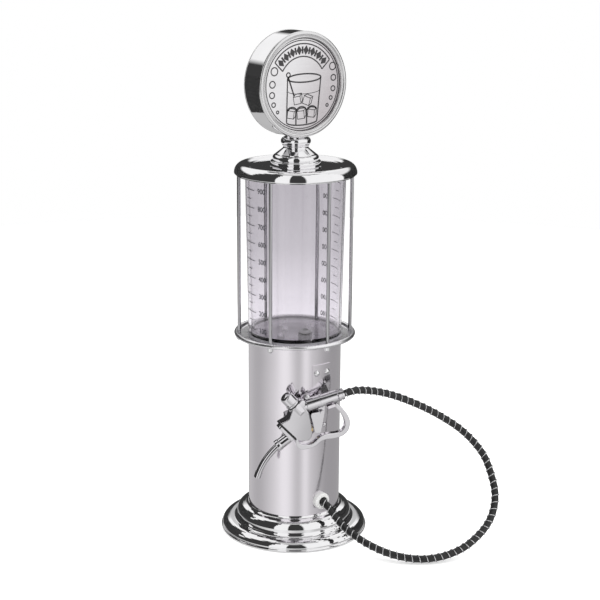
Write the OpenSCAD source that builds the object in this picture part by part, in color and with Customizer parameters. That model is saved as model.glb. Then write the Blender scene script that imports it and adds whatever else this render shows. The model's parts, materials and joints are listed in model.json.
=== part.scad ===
// Tabletop drinks dispenser in the shape of a gas pump: a chrome base and tube, a clear tank
// in a cage of rods, a lid with a round sign, and a nozzle on a metal-wrapped hose.
// Front is -Y. The origin is the centre of the base's underside.

/* [Base] */
// Largest radius of the stepped base
base_r = 71.4; // [71:0.1:74]
// Radius of the base's upper step
base_step_r = 56; // [54:0.5:58]
// Height of the base
base_h = 26; // [25:0.5:27]
// Thickness of the rubber pad under the base
pad_t = 3; // [2.5:0.1:3]

/* [Body tube] */
// Outer radius of the body tube
tube_r = 44.5; // [44.3:0.1:44.7]
// Wall of the body tube
tube_wall = 1.2; // [1:0.1:1.3]
// Height of the top of the body tube
tube_top = 196.6; // [194:0.2:198]
// Height of the hose outlet above the table
outlet_z = 40; // [38:0.5:42]
// Height of the two holster screws
holster_screw_z = 169; // [167:0.5:171]

/* [Tank and gallery] */
// Radius of the dished collar that holds the tank
collar_r = 58; // [57.5:0.1:59]
// Number of gallery rods round the tank
rod_count = 6; // [4:1:8]
// Radius of the circle that the rods stand on
rod_circle_r = 53.2; // [52.5:0.1:53.3]
// Radius of a gallery rod
rod_r = 1.7; // [1.5:0.1:1.8]
// Outer radius of the tank at its floor
tank_foot_r = 44.6; // [44:0.1:45]
// Outer radius of the tank at its mouth
tank_mouth_r = 47.2; // [46.8:0.1:47.3]
// Wall of the tank
tank_wall = 2.5; // [2:0.1:2.6]
// Height of the tank's mouth
tank_top = 354.6; // [353:0.1:354.8]

/* [Lid and sign] */
// Radius of the lid
lid_r = 57.6; // [57.4:0.1:58]
// Height of the centre of the sign
sign_z = 435.5; // [435:0.1:437]
// Outer radius of the sign's bezels
sign_r = 48.5; // [48.3:0.1:49]
// Depth of the sign from bezel to bezel
sign_depth = 28; // [27:0.5:30]

/* [Nozzle] */
// Angle that the hanging nozzle is turned from the front, in degrees
nozzle_turn = 20; // [19:0.5:21]
// Slope of the nozzle's handle and valve, in degrees
handle_tilt = 13.5; // [13:0.1:14]
// Radius of the spout's bend
spout_bend_r = 58; // [56:0.5:60]
// Outer radius of the spout
spout_r = 3.1; // [2.9:0.1:3.2]

/* [Hose] */
// Outer radius of the hose with its metal wrap
hose_r = 4.15; // [4:0.05:4.2]

/* [Hidden] */
$fn = 72;

// Clearance between parts that stay together, and between parts that move apart
fit = 0.05;
gap = 0.3;
tube_in = tube_r - tube_wall;

// Base and tie rods
plate_t = 2;
plate_top = pad_t + plate_t;
base_wall = 1.4;
tie_r = 2;
tie_circle_r = 16;
tie_angles = [0, 90, 180];
bowl_z = 191.3;
sheet_t = 1.3;

// Collar and tank levels
flange_z = 197.9;
bead_r = 2.2;
bead_z = flange_z + 0.5;
floor_z = 199.2;
floor_t = 3;
drain_y = -17;
ring_z = 351.3;
ring_top = 355;
ring_r = lid_r - 2.3;
lip_z = 352.35;
deck_z = 359.3;

// Sign levels, measured from the middle of the drum
sign_y = 0.8;
sign_half = sign_depth / 2;
plate_r = 43.5;
drum_r = sign_r - 0.3;
drum_in = drum_r - 1.4;
drum_half = 11.6;

// Inner hose, from the drain to the outlet elbow
elbow_y = -34;
elbow_top = 62;
inner_r = 4.6;
inner_bore_r = 3.15;
inner_route = [
    [0, drain_y, 184], [0, drain_y, 160], [0, drain_y, 140], [0, -18.5, 124], [0, -22.5, 109],
    [0, -28, 95], [0, -32.3, 81], [0, elbow_y, 70], [0, elbow_y, elbow_top], [0, elbow_y, 52]
];

// Nozzle points, as [distance along the nozzle, height]
nozzle_y = -58;
body_w = 12;
handle_mid = [0, 147.4];
handle_end = 13.3;
pivot = [-9, 135.8];
lever_h = 14.2;
pull_point = pivot + lever_h * [sin(handle_tilt), -cos(handle_tilt)];
valve_dir = [cos(handle_tilt), sin(handle_tilt)];
face_top = [-48.9, 127.7];
face_bottom = [-33.2, 110.9];
face_dir = unit(face_bottom - face_top);
face_out = [face_dir[1], -face_dir[0]];
face_mid = (face_top + face_bottom) / 2 + 0.02 * face_out;
face_a = atan2(face_out[1], face_out[0]);
body_outline = [
    face_top, face_bottom, [-28.2, 108.3], [-21, 108], [-18.3, 111], [-17.6, 117], [-19.4, 126.2],
    [-21.9, 136.3], [-25.4, 142.4], [-25.2, 148], [-28.5, 149], [-37.6, 140.6], [-40.8, 131.6]
];
cap_foot = [-29.7, 137.6];
cap_a = 131;
collar_a = -146;
collar_root = [-37.5, 113];
collar_len = 16.5;
spout_a0 = 130;
spout_a1 = 164;
spout_centre = [-14.2, 58.6];
stem_r = 1.3;
chamber_r = 4.2;
seat_u = -28;
gland_u = -17.3;
spring_wire = 0.35;

// Route of the free hose, from the outlet to the nozzle
hose_route = [
    [0, -45.5, 40], [0, -51, 39.5], [1, -58, 36], [3, -66, 29], [5, -77, 22.5], [8, -90, 17.5],
    [12, -103, 13.5], [19, -117, 9.5], [28, -129, 6.5], [40, -140, 4.6], [54, -148.5, 4.6],
    [70, -154, 6.5], [87, -157, 11], [103, -157, 18], [117, -155, 26.5], [128, -150.5, 37],
    [136, -143, 49.5], [139.5, -133, 64], [139.5, -122.5, 79], [134.5, -112, 92],
    [125.5, -102, 104], [114, -93, 114], [99.5, -84.5, 124], [82.5, -77, 133.5], [64, -71, 142],
    [46, -67, 148], [28.5, -65.5, 151.8], [20.6, -64.7, 152], [13.3, -62.85, 150.8]
];
hose_sides = 10;
hose_step = 2;

// Points of an elliptic arc
function arc(cx, cy, rx, ry, a0, a1, n = 8) =
    [for (i = [0:n]) let (a = a0 + (a1 - a0) * i / n) [cx + rx * cos(a), cy + ry * sin(a)]];

// Catmull-Rom curve through a list of points of any dimension, n steps for each span
function mix4(a, b, c, d, t) =
    0.5 * (2 * b + (c - a) * t + (2 * a - 5 * b + 4 * c - d) * t * t + (3 * b - a - 3 * c + d) * t * t * t);
function curve(p, n) = let (m = len(p) - 1) concat(
    [for (i = [0:m - 1], k = [0:n - 1])
        mix4(p[max(i - 1, 0)], p[i], p[i + 1], p[min(i + 2, m)], k / n)],
    [p[m]]);

function unit(v) = v / norm(v);

// Normals carried along the curve without twisting
function carry(v, t) = unit(v - (v * t) * t);
function tangents(p) = let (m = len(p) - 1)
    [for (i = [0:m]) unit(p[min(i + 1, m)] - p[max(i - 1, 0)])];
function normals(t, i = 0, v = [0, 0, 1]) =
    i == len(t) ? [] : let (w = carry(v, t[i])) concat([w], normals(t, i + 1, w));

// Closed tube swept along 3-D points
module sweep(p, r, sides) {
    t = tangents(p);
    u = normals(t);
    m = len(p) - 1;
    points = [for (i = [0:m], k = [0:sides - 1])
        p[i] + r * (cos(360 * k / sides) * u[i] + sin(360 * k / sides) * cross(t[i], u[i]))];
    wall = [for (i = [0:m - 1], k = [0:sides - 1]) let (j = (k + 1) % sides)
        [i * sides + j, i * sides + k, (i + 1) * sides + k, (i + 1) * sides + j]];
    first_end = [for (k = [0:sides - 1]) k];
    last_end = [for (k = [sides - 1:-1:0]) m * sides + k];
    polyhedron(points, concat(wall, [first_end], [last_end]));
}

// Open tube swept along 3-D points, v a direction across its first point
module sweep_tube(p, r_out, r_in, sides, v) {
    t = tangents(p);
    u = normals(t, 0, v);
    m = len(p) - 1;
    n = 2 * sides;
    points = [for (i = [0:m], r = [r_out, r_in], k = [0:sides - 1])
        p[i] + r * (cos(360 * k / sides) * u[i] + sin(360 * k / sides) * cross(t[i], u[i]))];
    outer = [for (i = [0:m - 1], k = [0:sides - 1]) let (a = i * n, j = (k + 1) % sides)
        [a + j, a + k, a + n + k, a + n + j]];
    inner = [for (i = [0:m - 1], k = [0:sides - 1]) let (a = i * n + sides, j = (k + 1) % sides)
        [a + k, a + j, a + n + j, a + n + k]];
    first_end = [for (k = [0:sides - 1]) let (j = (k + 1) % sides)
        [k, j, sides + j, sides + k]];
    last_end = [for (k = [0:sides - 1]) let (j = (k + 1) % sides, b = m * n)
        [b + j, b + k, b + sides + k, b + sides + j]];
    polyhedron(points, concat(outer, inner, first_end, last_end));
}

// Flat ring or tube standing on z = 0
module tube(r_out, r_in, h) {
    difference() {
        cylinder(r = r_out, h = h);
        translate([0, 0, -1]) cylinder(r = r_in, h = h + 2);
    }
}

module hex(r, h) {
    cylinder(r = r, h = h, $fn = 6);
}

// Copies on the circle of rods, one of them at the front
module at_rods() {
    for (i = [0:rod_count - 1]) rotate([0, 0, 360 * i / rod_count - 90])
        translate([rod_circle_r, 0, 0]) children();
}

module at_ties() {
    for (a = tie_angles) rotate([0, 0, a]) translate([tie_circle_r, 0, 0]) children();
}

// ---------- base ----------

// Level rubber disc with pockets for the tie rods' heads
module foot_pad() {
    color("#1c1c1e") difference() {
        cylinder(r = 67, h = pad_t);
        at_ties() translate([0, 0, 0.8]) cylinder(r = 5, h = pad_t);
    }
}

module base_plate() {
    color("silver") difference() {
        translate([0, 0, pad_t]) cylinder(r = base_r - 3.2, h = plate_t);
        at_ties() cylinder(r = tie_r + fit, h = plate_top + 1);
        at_ring_bolts() cylinder(r = 1.5, h = plate_top + 1);
    }
}

// Outer outline of the base, from the table up to the tube
function base_outline() = concat(
    [[base_r - 0.9, 0.8]],
    arc(base_r - 0.9, 1.7, 0.9, 0.9, -90, 90, 6),
    [[base_r - 1, 3.2]],
    arc(base_r - 9.5, 3.6, 8.6, 6.4, 0, 86, 12),
    arc(base_step_r + 3, 12.4, 2.4, 2.4, -90, -180, 6),
    [[base_step_r, 13.2]],
    arc(base_step_r - 8, 15.4, 8, 8.2, 0, 82, 12),
    arc(tube_r + 3.2, base_h, 2.6, 2.2, -90, -180, 6)
);

module base_shell() {
    outline = base_outline();
    inside = [for (i = [len(outline) - 1:-1:0]) outline[i] - [base_wall, base_wall * 0.6]];
    top_i = [tube_r + fit, base_h];
    color("gainsboro") rotate_extrude()
        polygon(concat(outline, [top_i, [tube_r + fit, base_h - 5]],
            [for (q = inside) if (q[0] > tube_r + 2.2 && q[1] > 1.2) q], [[base_r - 2.2, 0.8]]));
}

module at_ring_bolts() {
    for (a = [45:90:315]) rotate([0, 0, a]) translate([38, 0, 0]) children();
}

// Ring on the base plate that locates the tube
module tube_ring() {
    color("lightgray") difference() {
        translate([0, 0, plate_top]) union() {
            tube(tube_in - fit, 34, 3);
            tube(tube_in - fit, tube_in - 2, 10);
        }
        at_ring_bolts() cylinder(r = 1.5, h = 20);
    }
}

module ring_bolts() {
    color("dimgray") at_ring_bolts() {
        translate([0, 0, pad_t + 0.2]) cylinder(r = 1.4, h = 8);
        translate([0, 0, plate_top + 3]) cylinder(r = 2.8, h = 2.2);
    }
}

// ---------- body ----------

module at_outlet() {
    translate([0, 0, outlet_z]) rotate([90, 0, 0]) children();
}

module at_holster_screws() {
    for (a = [-7.4, 7.4]) rotate([0, 0, a]) translate([0, 0, holster_screw_z])
        rotate([90, 0, 0]) children();
}

module body_tube() {
    color("lightgray") difference() {
        translate([0, 0, plate_top]) tube(tube_r, tube_in, tube_top - plate_top);
        at_outlet() cylinder(r = 6, h = tube_r + 2);
        at_holster_screws() cylinder(r = 1.6, h = tube_r + 2);
    }
}

// Three long rods that clamp the collar, tube and base together
module tie_rods() {
    color("darkgray") at_ties() {
        translate([0, 0, 1.2]) cylinder(r = 4, h = pad_t - 1.2);
        translate([0, 0, pad_t]) cylinder(r = tie_r, h = bowl_z + 3.6 - pad_t);
    }
}

module tie_nuts() {
    color("gainsboro") at_ties() translate([0, 0, bowl_z]) difference() {
        union() {
            tube(3.6, tie_r + fit, 3.4);
            translate([0, 0, 3.4]) intersection() {
                sphere(r = 3.2);
                cylinder(r = 4, h = 4);
            }
        }
        translate([0, 0, -0.5]) cylinder(r = tie_r + fit, h = 4.3);
    }
}

// ---------- collar and tank ----------

module collar_sheet() {
    bead_x = collar_r - bead_r;
    under = flange_z - sheet_t;
    rotate_extrude() polygon(concat(
        [[0, bowl_z - sheet_t], [32, bowl_z - sheet_t], [40, 193.5], [42.6, 194.5], [43, under]],
        [[bead_x - 2, under]],
        arc(bead_x, bead_z, bead_r, bead_r, -120, 150, 16),
        [[bead_x - 3, flange_z], [41.4, flange_z], [40.2, 196.8], [38.6, 194.4], [35, 192.2],
            [31, bowl_z], [0, bowl_z]]
    ));
}

module collar() {
    color("gainsboro") difference() {
        collar_sheet();
        at_rods() translate([0, 0, 190]) cylinder(r = rod_r + fit, h = 12);
        at_ties() translate([0, 0, 185]) cylinder(r = tie_r + fit, h = 12);
        translate([0, drain_y, 185]) cylinder(r = 4.2, h = 12);
    }
}

module tank_gasket() {
    color("#303030") translate([0, 0, flange_z])
        tube(tank_foot_r + 0.6, 41.6, floor_z - flange_z);
}

module gallery_rods() {
    color("gainsboro") at_rods() difference() {
        translate([0, 0, 192]) cylinder(r = rod_r, h = ring_z - 192);
        translate([0, 0, ring_z - 9]) cylinder(r = 0.95, h = 10);
    }
}

module rod_nuts() {
    top = bead_z - bead_r;
    color("gainsboro") at_rods() translate([0, 0, top - 3]) difference() {
        union() {
            tube(3, rod_r + fit, 3);
            translate([0, 0, -1.6]) cylinder(r1 = 1.8, r2 = 3, h = 1.6);
        }
        translate([0, 0, -1.6]) cylinder(r = rod_r + fit, h = 8);
    }
}

// Clear tapered tumbler with a drain hole in its floor
module tank() {
    h = tank_top - floor_z;
    color("lavender", 0.35) difference() {
        translate([0, 0, floor_z]) cylinder(r1 = tank_foot_r, r2 = tank_mouth_r, h = h);
        translate([0, 0, floor_z + floor_t])
            cylinder(r1 = tank_foot_r - tank_wall, r2 = tank_mouth_r - tank_wall, h = h - floor_t);
        translate([0, 0, tank_top - 0.01]) cylinder(r = tank_mouth_r - tank_wall, h = 2);
        translate([0, drain_y, floor_z - 1]) cylinder(r = 3.7, h = floor_t + 2);
    }
}

module tank_rim_ring() {
    color("#303030") translate([0, 0, ring_z + 0.2]) tube(48.25, tank_mouth_r + fit, 3.2);
}

module upper_ring() {
    color("gainsboro") difference() {
        rotate_extrude() polygon(concat(
            [[48.3, ring_z]],
            arc(ring_r + 0.1, ring_z + 0.35, 0.5, 0.35, -90, 90, 6),
            [[ring_r, ring_z + 0.7], [ring_r, ring_top], [48.3, ring_top]]
        ));
        at_rods() {
            translate([0, 0, ring_z - 1]) cylinder(r = 1, h = 8);
            translate([0, 0, ring_top - 0.9]) cylinder(r1 = 1, r2 = 1.7, h = 1);
        }
    }
}

module ring_screws() {
    color("silver") at_rods() {
        translate([0, 0, ring_z - 6]) cylinder(r = 0.9, h = ring_top - ring_z + 4.5);
        translate([0, 0, ring_top - 0.9]) cylinder(r1 = 0.9, r2 = 1.5, h = 0.85);
    }
}

// ---------- drain and inner hose ----------

module drain_fitting() {
    color("white") translate([0, drain_y, 0]) difference() {
        union() {
            translate([0, 0, floor_z + floor_t]) intersection() {
                scale([1, 1, 0.52]) sphere(r = 6);
                cylinder(r = 7, h = 7);
            }
            translate([0, 0, 184]) cylinder(r = 3.6, h = floor_z + floor_t - 184);
            translate([0, 0, 172]) cylinder(r = 3, h = 13);
            for (z = [174, 178, 182]) translate([0, 0, z]) cylinder(r1 = 3, r2 = 3.08, h = 2);
        }
        translate([0, 0, 170]) cylinder(r = 2.2, h = 40);
        translate([0, 0, floor_z + floor_t - 1]) cylinder(r = 3, h = 8);
    }
}

module drain_seal() {
    color("#303030") translate([0, drain_y, bowl_z]) tube(6.5, 3.6 + fit, floor_z - bowl_z);
}

module drain_nut() {
    color("white") translate([0, drain_y, bowl_z - sheet_t - 4]) difference() {
        hex(7, 4);
        translate([0, 0, -1]) cylinder(r = 3.6 + fit, h = 6);
    }
}

// Small domed screen in the mouth of the drain
module drain_strainer() {
    color("gray") translate([0, drain_y, floor_z + floor_t - 1]) difference() {
        union() {
            cylinder(r = 2.9, h = 2);
            translate([0, 0, 2]) scale([1, 1, 0.5]) intersection() {
                sphere(r = 2.9);
                cylinder(r = 4, h = 4);
            }
        }
        for (a = [0:60:300]) rotate([0, 0, a]) translate([1.5, 0, -1]) cylinder(r = 0.4, h = 8);
        translate([0, 0, -1]) cylinder(r = 0.4, h = 8);
    }
}

// Straight down from the drain, an S-bend, and straight onto the elbow
module inner_hose() {
    color("whitesmoke") sweep_tube(curve(inner_route, 3), inner_r, inner_bore_r, 16, [1, 0, 0]);
}

module hose_clip_at(y, z) {
    translate([0, y, z]) {
        tube(inner_r + 1, inner_r + fit, 5);
        translate([inner_r + 0.8, -1.5, 0]) cube([3.2, 3, 5]);
    }
}

module hose_clips() {
    color("silver") {
        hose_clip_at(drain_y, 175);
        hose_clip_at(elbow_y, 54);
    }
}

module outlet_elbow() {
    color("white") difference() {
        union() {
            translate([0, elbow_y, outlet_z]) cylinder(r = 3, h = elbow_top - outlet_z);
            translate([0, elbow_y, outlet_z]) sphere(r = 4.6);
            translate([0, elbow_y, outlet_z]) cylinder(r = 4.6, h = 11);
            at_outlet() translate([0, 0, -elbow_y]) cylinder(r = 4, h = 45 + elbow_y);
        }
        translate([0, elbow_y, outlet_z]) sphere(r = 2.2);
        translate([0, elbow_y, outlet_z]) cylinder(r = 2.2, h = 30);
        at_outlet() translate([0, 0, -elbow_y]) cylinder(r = 2.2, h = 20);
    }
}

module outlet_nut() {
    color("white") at_outlet() translate([0, 0, 38.6]) difference() {
        hex(8, 3.2);
        translate([0, 0, -1]) cylinder(r = 5.8 + fit, h = 6);
    }
}

// White bush with a round flange shaped to the tube
module outlet_grommet() {
    color("white") difference() {
        at_outlet() union() {
            translate([0, 0, 38.6]) cylinder(r = 5.8, h = 8);
            translate([0, 0, 42]) cylinder(r = 8, h = 6.2);
            translate([0, 0, 48.2]) cylinder(r1 = 8, r2 = 7, h = 1.2);
        }
        difference() {
            cylinder(r = tube_r + fit, h = 100);
            at_outlet() cylinder(r = 5.9, h = 60);
        }
        at_outlet() cylinder(r = 4.05, h = 45.1);
        at_outlet() translate([0, 0, 45]) cylinder(r = 4.6, h = 10);
    }
}

// ---------- nozzle frame ----------

// The nozzle is drawn in a plane: x along it, z up, y across it
module in_nozzle() {
    translate([0, nozzle_y, 0]) rotate([0, 0, -nozzle_turn]) children();
}

// Child's z axis is laid along angle a in the nozzle's plane, from point p
module along(p, a) {
    translate([p[0], 0, p[1]]) rotate([0, 90 - a, 0]) children();
}

module on_handle(s) {
    along(handle_mid + s * valve_dir / valve_dir[0], handle_tilt) children();
}

module on_valve(u) {
    along(pull_point + u * valve_dir, handle_tilt) children();
}

// Flat outline in the nozzle's plane with a width across it
module flat(points, w) {
    rotate([90, 0, 0]) linear_extrude(height = w, center = true) polygon(points);
}

// ---------- holster ----------

// Saddle on the tube with an arm that passes behind the handle and a tongue under it
module holster() {
    color("lightgray") difference() {
        union() {
            rotate([0, 0, -90 - 13]) translate([0, 0, 155]) rotate_extrude(angle = 26)
                translate([tube_r + fit, 0]) square([0.8, 22]);
            in_nozzle() translate([0.2, 0, 140.7]) rotate([0, -handle_tilt, 0])
                rotate([90, 0, 90]) linear_extrude(height = 7, center = true) polygon([
                    [-7.6, 2.2], [-7.6, -0.4], [-6.6, -1.4], [8.2, -1.4], [9.4, -0.2], [9.4, 9.5],
                    [14.2, 15], [14.2, 19.5], [13, 19.5], [13, 15.6], [8, 10], [8, 0],
                    [-6.2, 0], [-6.4, 2.2]
                ]);
        }
        cylinder(r = tube_r + fit, h = 250);
        at_holster_screws() cylinder(r = 1.6, h = 60);
    }
}

module holster_screws() {
    color("gainsboro") at_holster_screws() {
        translate([0, 0, 40]) cylinder(r = 1.5, h = 6.2);
        translate([0, 0, tube_r + 0.9]) intersection() {
            scale([1, 1, 0.6]) sphere(r = 3);
            cylinder(r = 4, h = 3);
        }
    }
}

module holster_nuts() {
    color("silver") at_holster_screws() translate([0, 0, tube_in - 3]) difference() {
        hex(3, 2.4);
        translate([0, 0, -1]) cylinder(r = 1.5 + fit, h = 5);
    }
}

// ---------- nozzle ----------

module nozzle_body() {
    color("silver") in_nozzle() difference() {
        union() {
            flat(body_outline, body_w);
            along(cap_foot, cap_a) translate([0, 0, -2]) cylinder(r = 6.8, h = 10);
        }
        on_valve(seat_u) cylinder(r = chamber_r, h = 30);
        on_valve(seat_u - 7) cylinder(r = 2.2, h = 8);
        along(collar_root, 180 + collar_a) translate([0, 0, -6]) cylinder(r = 2.2, h = 9);
        along([-27, 118], 90) cylinder(r = 2, h = 23);
        on_handle(-29.4) cylinder(r = 2.2, h = 12);
        on_handle(-27.6) cylinder(r = 5 + fit, h = 12);
        along(cap_foot, cap_a) translate([0, 0, 5]) cylinder(r = 4.6, h = 12);
    }
}

// Domed cap on the valve housing, with a rim at its foot
module nozzle_cap() {
    color("gainsboro") in_nozzle() along(cap_foot, cap_a) {
        translate([0, 0, 5.1]) cylinder(r = 4.6 - fit, h = 4.1);
        translate([0, 0, 9.1]) cylinder(r = 7, h = 1.8);
        translate([0, 0, 10.8]) cylinder(r = 6.4, h = 7.8);
        translate([0, 0, 18.6]) scale([1, 1, 0.5]) intersection() {
            sphere(r = 6.4);
            cylinder(r = 8, h = 8);
        }
    }
}

module cap_seal() {
    color("#303030") in_nozzle() along(cap_foot, cap_a)
        translate([0, 0, 8.05]) tube(6.6, 4.6, 1);
}

module bleed_screw() {
    color("gainsboro") in_nozzle() {
        along([-22.4, 141], 90) cylinder(r = 1.2, h = 10);
        along([-22.4, 149.2], 90) cylinder(r = 3.4, h = 1.2);
        along([-22.4, 150.4], 90) intersection() {
            sphere(r = 3.2);
            cylinder(r = 4, h = 4);
        }
    }
}

module spout_gasket() {
    color("#161616") in_nozzle() along(face_mid, face_a) difference() {
        translate([-11.3, -body_w / 2 + 0.1, 0]) cube([22.6, body_w - 0.2, 1.3]);
        translate([6.9, 0, -1]) cylinder(r = 3.1, h = 4);
    }
}

// Plate with the long collar that the spout screws into
module spout_flange() {
    color("lightgray") in_nozzle() difference() {
        union() {
            along(face_mid, face_a) intersection() {
                translate([-10.4, -5.8, 1.3]) cube([20.2, 11.6, 3]);
                translate([-0.3, 0, 1.3]) cylinder(r = 10.6, h = 3);
            }
            along(collar_root, collar_a) translate([0, 0, 2.4]) cylinder(r = 5.1, h = collar_len - 2.4);
            along(collar_root, collar_a) translate([0, 0, collar_len - 4.2])
                cylinder(r1 = 5.1, r2 = 5.6, h = 1);
            along(collar_root, collar_a) translate([0, 0, collar_len - 3.2])
                cylinder(r = 5.6, h = 3.2);
        }
        along(face_mid, face_a) translate([-20, -20, -18.7]) cube([40, 40, 20]);
        along(collar_root, collar_a) translate([0, 0, -4]) cylinder(r = 2.2, h = 40);
        along(collar_root, collar_a) translate([0, 0, collar_len - 3]) cylinder(r = 3.6, h = 10);
    }
}

module spout_ring(a0, a1, r_out, r_in) {
    in_nozzle() translate([spout_centre[0], 0, spout_centre[1]]) rotate([90, 0, 0])
        rotate([0, 0, a0]) rotate_extrude(angle = a1 - a0) translate([spout_bend_r, 0])
            difference() {
                circle(r = r_out);
                circle(r = r_in);
            }
}

module spout() {
    color("gainsboro") {
        spout_ring(spout_a0 - 1, spout_a1, spout_r, spout_r - 0.8);
        spout_ring(spout_a1 - 5.5, spout_a1 - 0.6, spout_r + 0.45, spout_r - 0.4);
    }
}

// Two stepped barrels with a ring between them, and a lug for the trigger's pin
module handle() {
    color("gainsboro") in_nozzle() difference() {
        union() {
            on_handle(-27.4) cylinder(r = 5, h = 5.2);
            on_handle(-22.8) cylinder(r = 6.2, h = 14.4);
            on_handle(-9) cylinder(r = 5.8, h = 16);
            on_handle(-10) cylinder(r = 6.5, h = 1.6);
            flat([[-12, 142], [-11.9, 135.6], [-10.8, 133.6], [-9, 132.9], [-7.2, 133.6],
                [-6.1, 135.6], [-6, 142]], 8);
        }
        on_handle(-30) cylinder(r = 3.2, h = 53);
        along([-22.4, 130], 90) cylinder(r = 1.3, h = 30);
        along(pivot, 0) rotate([0, 90, 90]) cylinder(r = 1.25, h = 20, center = true);
        translate([-26, -8, 149.1]) cube([7.2, 16, 10]);
    }
}

module hose_swivel() {
    start = 7.4 / valve_dir[0];
    color("gainsboro") in_nozzle() difference() {
        union() {
            on_handle(start) cylinder(r = 5.9, h = 2.2);
            on_handle(start + 2) cylinder(r = 5, h = handle_end - start - 2);
            on_handle(handle_end - 1.8) cylinder(r = 5.4, h = 1.8);
            on_handle(4) cylinder(r = 3.1, h = 5);
        }
        on_handle(0) cylinder(r = 2.2, h = 30);
    }
}

// Loop from the end of the handle round the fingers to the underside of the body
module guard() {
    outer = curve([[5.2, 143.4], [9.4, 139.8], [13.6, 135], [17.8, 128.6], [19.5, 121.8],
        [17.8, 114.6], [13, 110], [6, 108], [-2, 107.6], [-8, 106.2], [-14, 101.6],
        [-21, 99.6], [-28, 99.2], [-32, 102], [-33.8, 107], [-33.2, 111.6]], 4);
    inner = curve([[-30.2, 112], [-30.4, 107.6], [-27.6, 104.8], [-22, 103.6], [-15.6, 105.6],
        [-10.6, 110.2], [-6, 112.4], [0, 113], [6, 113.2], [11, 114.6], [13.8, 118],
        [14.6, 122.6], [12.6, 128.6], [9.6, 133.4], [6.8, 136.6], [4.7, 139]], 4);
    space = [for (q = body_outline) q + fit * unit(q - [-28, 122])];
    color("silver") in_nozzle() difference() {
        flat(concat(outer, inner), 6);
        flat(space, 20);
        on_handle(-9) cylinder(r = 5.8 + fit, h = 40);
        along(face_mid, face_a) translate([-20, -10, -2]) cube([31.7, 20, 10]);
    }
}

// Trigger: two cheeks either side of the handle's lug, and a web with a slot for the valve stem
module trigger() {
    color("lightgray") in_nozzle() difference() {
        flat([[-16, 117], [-17.8, 126], [-20, 133.8], [-19.2, 135.6], [-6.9, 137],
            [-6.4, 136], [-7.3, 128.6], [-9.5, 116.4], [-10.6, 115.4], [-15, 115.9]], 12);
        flat([[-30, 100], [-14.4, 100], [-11.5, 116.2], [-9.3, 128.6], [-8.9, 131.6], [0, 131.6],
            [0, 145], [-30, 145]], 9);
        along(pull_point, handle_tilt) translate([-3.2, -1.6, -6]) cube([6.4, 3.2, 12]);
        along(pivot, 0) rotate([0, 90, 90]) cylinder(r = 1.25, h = 30, center = true);
    }
}

module trigger_pin() {
    color("gainsboro") in_nozzle() along(pivot, 0) rotate([0, 90, 90]) {
        cylinder(r = 1.2, h = 12.8, center = true);
        for (z = [-7.1, 6.3]) translate([0, 0, z]) cylinder(r = 2, h = 0.8);
    }
}

module packing_gland() {
    color("goldenrod") in_nozzle() difference() {
        union() {
            on_valve(gland_u) cylinder(r = chamber_r - fit, h = 4.6);
            on_valve(gland_u + 4.5) cylinder(r = 4, h = 1);
        }
        on_valve(gland_u - 1) cylinder(r = stem_r + 0.06, h = 20);
    }
}

module valve_stem() {
    color("silver") in_nozzle() {
        on_valve(seat_u + 1.4) cylinder(r = 3.6, h = 2);
        on_valve(seat_u + 1.4) cylinder(r = stem_r, h = -seat_u - 1.4);
        along(pull_point + 0.1 * valve_dir, handle_tilt) sphere(r = 2.4);
    }
}

module valve_seal() {
    color("#303030") in_nozzle() on_valve(seat_u + 0.2) cylinder(r = 3.4, h = 1.2);
}

// Spring between the valve head and the gland
module valve_spring() {
    turns = 4;
    length = gland_u - seat_u - 3.4 - 2 * spring_wire - 0.4;
    points = [for (i = [0:turns * 12]) let (a = 30 * i)
        [2.6 * cos(a), 2.6 * sin(a), spring_wire + 0.2 + length * i / (turns * 12)]];
    color("silver") in_nozzle() on_valve(seat_u + 3.4) sweep(points, spring_wire, 6);
}

// ---------- free hose ----------

module hose() {
    color("#202022") sweep(curve(hose_route, hose_step), hose_r, hose_sides);
}

// ---------- lid and sign ----------

// Sheet lid: a sunk deck, a full round roll and a lip round the ring of the gallery
module lid() {
    roll_x = lid_r - 7.4;
    roll_z = lip_z + 0.95;
    top = concat(
        [[lid_r - 0.9, lip_z], [lid_r - 0.3, lip_z + 0.25]],
        arc(roll_x, roll_z, 7.4, 8.8, 0, 90, 16),
        [[47.6, 361.4], [45.4, 360], [43, deck_z + 0.1], [40, deck_z], [0, deck_z]]
    );
    under = concat(
        [[0, deck_z - sheet_t], [43.6, deck_z - sheet_t], [46.4, 359.2]],
        arc(roll_x, roll_z, 5.6, 7.5, 90, 0, 10),
        [[lid_r - 1.8, lip_z]]
    );
    color("gainsboro") difference() {
        rotate_extrude() polygon(concat(top, under));
        translate([0, 0, 350]) cylinder(r = 2.5 + fit, h = 20);
    }
}

// Ring under the lid that drops into the tank's mouth
module lid_spigot() {
    color("white") difference() {
        translate([0, 0, 350.2]) tube(43.9, 41.4, deck_z - sheet_t - 350.2);
        rotate_extrude() translate([43.9, 352.4]) circle(r = 0.75);
    }
}

module lid_seal() {
    color("#303030") rotate_extrude() translate([43.85, 352.4]) circle(r = 0.6);
}

module neck_foot() {
    color("gainsboro") difference() {
        rotate_extrude() polygon(concat(
            [[0, deck_z], [23, deck_z], [23.7, deck_z + 0.8]],
            [[23.7, 363.6]],
            arc(22.7, 363.6, 1, 1, 0, 90, 5),
            [[21.4, 364.8], [21.4, 365.4]],
            [[21.7, 366]],
            arc(18.7, 367, 3, 3.4, 0, 75, 8),
            [[0, 370.4]]
        ));
        translate([0, 0, 350]) cylinder(r = 2.5 + fit, h = 30);
    }
}

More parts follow.
